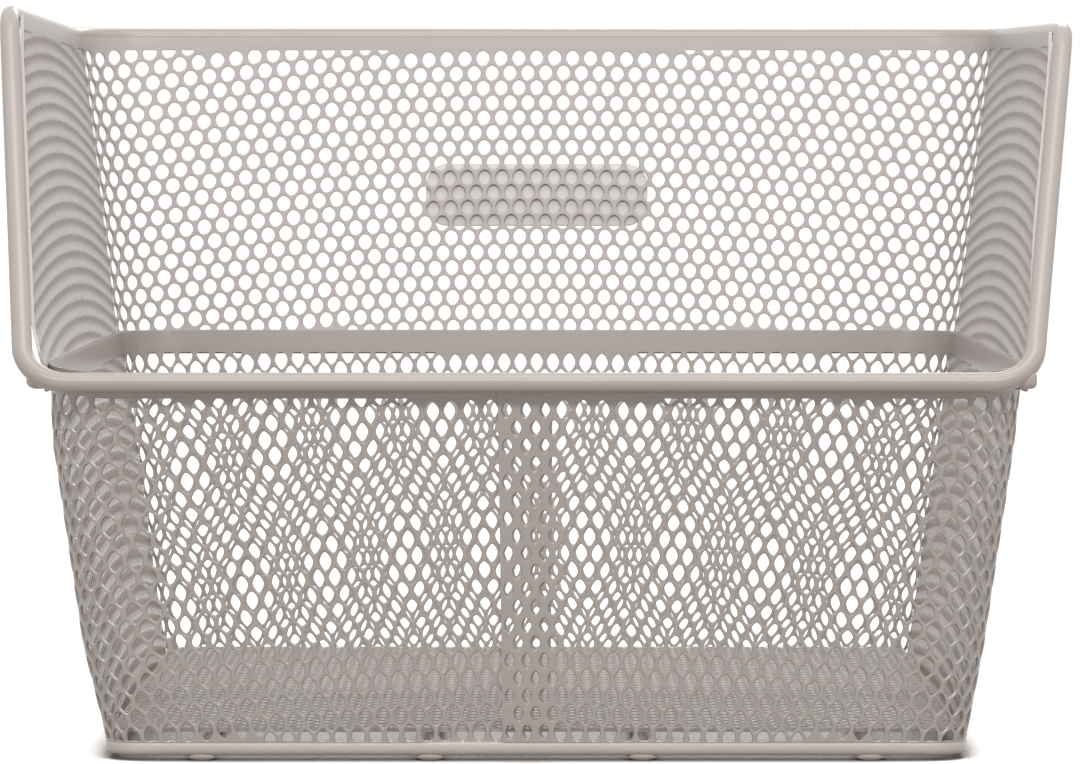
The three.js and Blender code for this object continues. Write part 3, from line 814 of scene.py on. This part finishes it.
# Studio
def new_math(nodes, links, operation, first, second):
    node = nodes.new("ShaderNodeMath")
    node.operation = operation
    for socket, value in zip(node.inputs, (first, second)):
        if isinstance(value, (int, float)):
            socket.default_value = value
        else:
            links.new(value, socket)
    return node.outputs[0]


def seen_directly(nodes, links):
    """One for what the camera sees, by itself or in a gloss or through a body, and nought for scattered light."""
    path = nodes.new("ShaderNodeLightPath")
    seen = new_math(nodes, links, "MAXIMUM", path.outputs["Is Camera Ray"], path.outputs["Is Glossy Ray"])
    return new_math(nodes, links, "MAXIMUM", seen, path.outputs["Is Transmission Ray"])


def studio_floor():
    size = 30
    mesh = bpy.data.meshes.new("studio_floor")
    mesh.from_pydata([(-size, -size, 0), (size, -size, 0), (size, size, 0), (-size, size, 0)], [], [(0, 1, 2, 3)])
    floor = bpy.data.objects.new("studio_floor", mesh)
    bpy.context.scene.collection.objects.link(floor)
    material = bpy.data.materials.new("studio_floor")
    material.use_nodes = True
    nodes, links = material.node_tree.nodes, material.node_tree.links
    nodes.clear()
    output = nodes.new("ShaderNodeOutputMaterial")
    paint = nodes.new("ShaderNodeBsdfDiffuse")
    paint.inputs["Color"].default_value = (*floor_colour, 1)
    # The floor's glow dims where ambient occlusion finds the basket near. This is painted shade under and round
    # the basket, in addition to the lamps' real shadow on the floor's diffuse paint.
    nearby = nodes.new("ShaderNodeAmbientOcclusion")
    nearby.inputs["Distance"].default_value = contact_distance
    glow = nodes.new("ShaderNodeEmission")
    glow.inputs["Color"].default_value = (1, 1, 1, 1)
    contact = nodes.new("ShaderNodeMapRange")
    contact.interpolation_type = "SMOOTHSTEP"
    contact.inputs["From Min"].default_value, contact.inputs["From Max"].default_value = contact_shares
    contact.inputs["To Min"].default_value, contact.inputs["To Max"].default_value = floor_glows
    links.new(nearby.outputs["AO"], contact.inputs["Value"])
    white = new_math(nodes, links, "MULTIPLY", seen_directly(nodes, links), contact.outputs["Result"])
    links.new(white, glow.inputs["Strength"])
    both = nodes.new("ShaderNodeAddShader")
    links.new(paint.outputs[0], both.inputs[0])
    links.new(glow.outputs[0], both.inputs[1])
    links.new(both.outputs[0], output.inputs["Surface"])
    mesh.materials.append(material)


def studio_world():
    world = bpy.data.worlds.new("studio")
    bpy.context.scene.world = world
    world.use_nodes = True
    nodes, links = world.node_tree.nodes, world.node_tree.links
    light = nodes["Background"]
    light.inputs["Color"].default_value = (*sky_colour, 1)
    light.inputs["Strength"].default_value = sky_strength
    white = nodes.new("ShaderNodeBackground")
    white.inputs["Color"].default_value = (1, 1, 1, 1)
    white.inputs["Strength"].default_value = 1
    mix = nodes.new("ShaderNodeMixShader")
    links.new(seen_directly(nodes, links), mix.inputs["Fac"])
    links.new(light.outputs[0], mix.inputs[1])
    links.new(white.outputs[0], mix.inputs[2])
    links.new(mix.outputs[0], nodes["World Output"].inputs["Surface"])


def area_lamp(name, place, target, size, watts):
    lamp = bpy.data.lights.new(name, "AREA")
    lamp.shape = "RECTANGLE"
    lamp.size, lamp.size_y = size
    lamp.energy = watts
    holder = bpy.data.objects.new(name, lamp)
    bpy.context.scene.collection.objects.link(holder)
    holder.location = place
    holder.rotation_euler = (Vector(target) - Vector(place)).to_track_quat("-Z", "Y").to_euler()


floor_colour = (0.36, 0.33, 0.31)
# Glow of the floor from deep ambient occlusion to the open, and the occlusion's reach and shares: painted shade
# round the basket.
floor_glows = (0.0, 1.0)
contact_distance = 0.045
contact_shares = (0.4, 0.7)
sky_colour = (1, 0.985, 0.98)
sky_strength = 0.42
studio_floor()
studio_world()
area_lamp("top_lamp", (0.1, -0.5, 1.65), (0, 0, 0.1), (0.9, 0.6), 7)
area_lamp("front_lamp", (0.0, -2.0, 1.5), (0, -0.18, 0.12), (2.4, 0.3), 28)
area_lamp("back_lamp", (0.4, 2.2, 1.3), (0, 0.18, 0.12), (0.8, 0.5), 8)

# Camera, level with the upper part of the basket and far in front of its low wall
camera_data = bpy.data.cameras.new("camera")
camera_data.sensor_width = 36
camera_data.lens = 204
camera_data.clip_end = 100
camera = bpy.data.objects.new("camera", camera_data)
camera.location = (0.0012, -2.09, 0.195)
camera.rotation_euler = (math.radians(90 - 2.246), 0, 0)
bpy.context.scene.collection.objects.link(camera)
bpy.context.scene.camera = camera
bpy.context.scene.view_settings.view_transform = "Standard"
